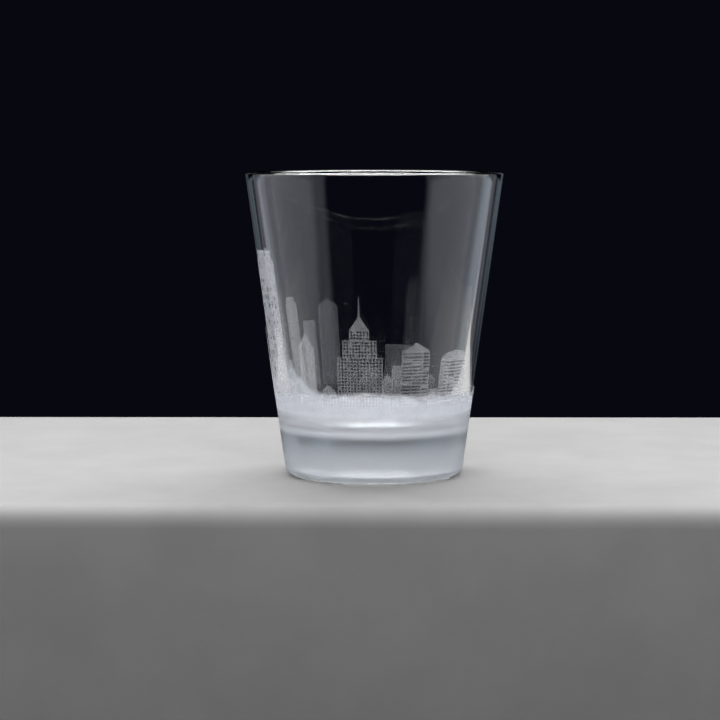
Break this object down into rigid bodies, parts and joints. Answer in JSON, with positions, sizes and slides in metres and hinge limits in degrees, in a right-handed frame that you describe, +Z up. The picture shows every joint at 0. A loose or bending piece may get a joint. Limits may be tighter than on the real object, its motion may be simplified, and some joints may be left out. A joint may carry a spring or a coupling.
{
  "type": "shot glass",
  "caption": "Tapered clear shot glass with a thick solid foot, a rounded rim, a frosted band round the foot and a frosted skyline above it.",
  "frame": {"origin": "centre of the foot, on the surface that the glass stands on", "axes": "+Z up along the glass's axis; the decoration's front faces -Y"},
  "size_m": [0.051, 0.051, 0.06],
  "materials": {
    "clear_glass": "polished, clear, with a faint cool tint",
    "band_frost": "matt, translucent white frost colour that fades out upwards",
    "print_frost": "matt, translucent white frost colour in a fine grain"
  },
  "bodies": {
    "root": {"glass_body": "clear_glass", "frost_band": "band_frost", "skyline_print": "print_frost"}
  },
  "joints": []
}
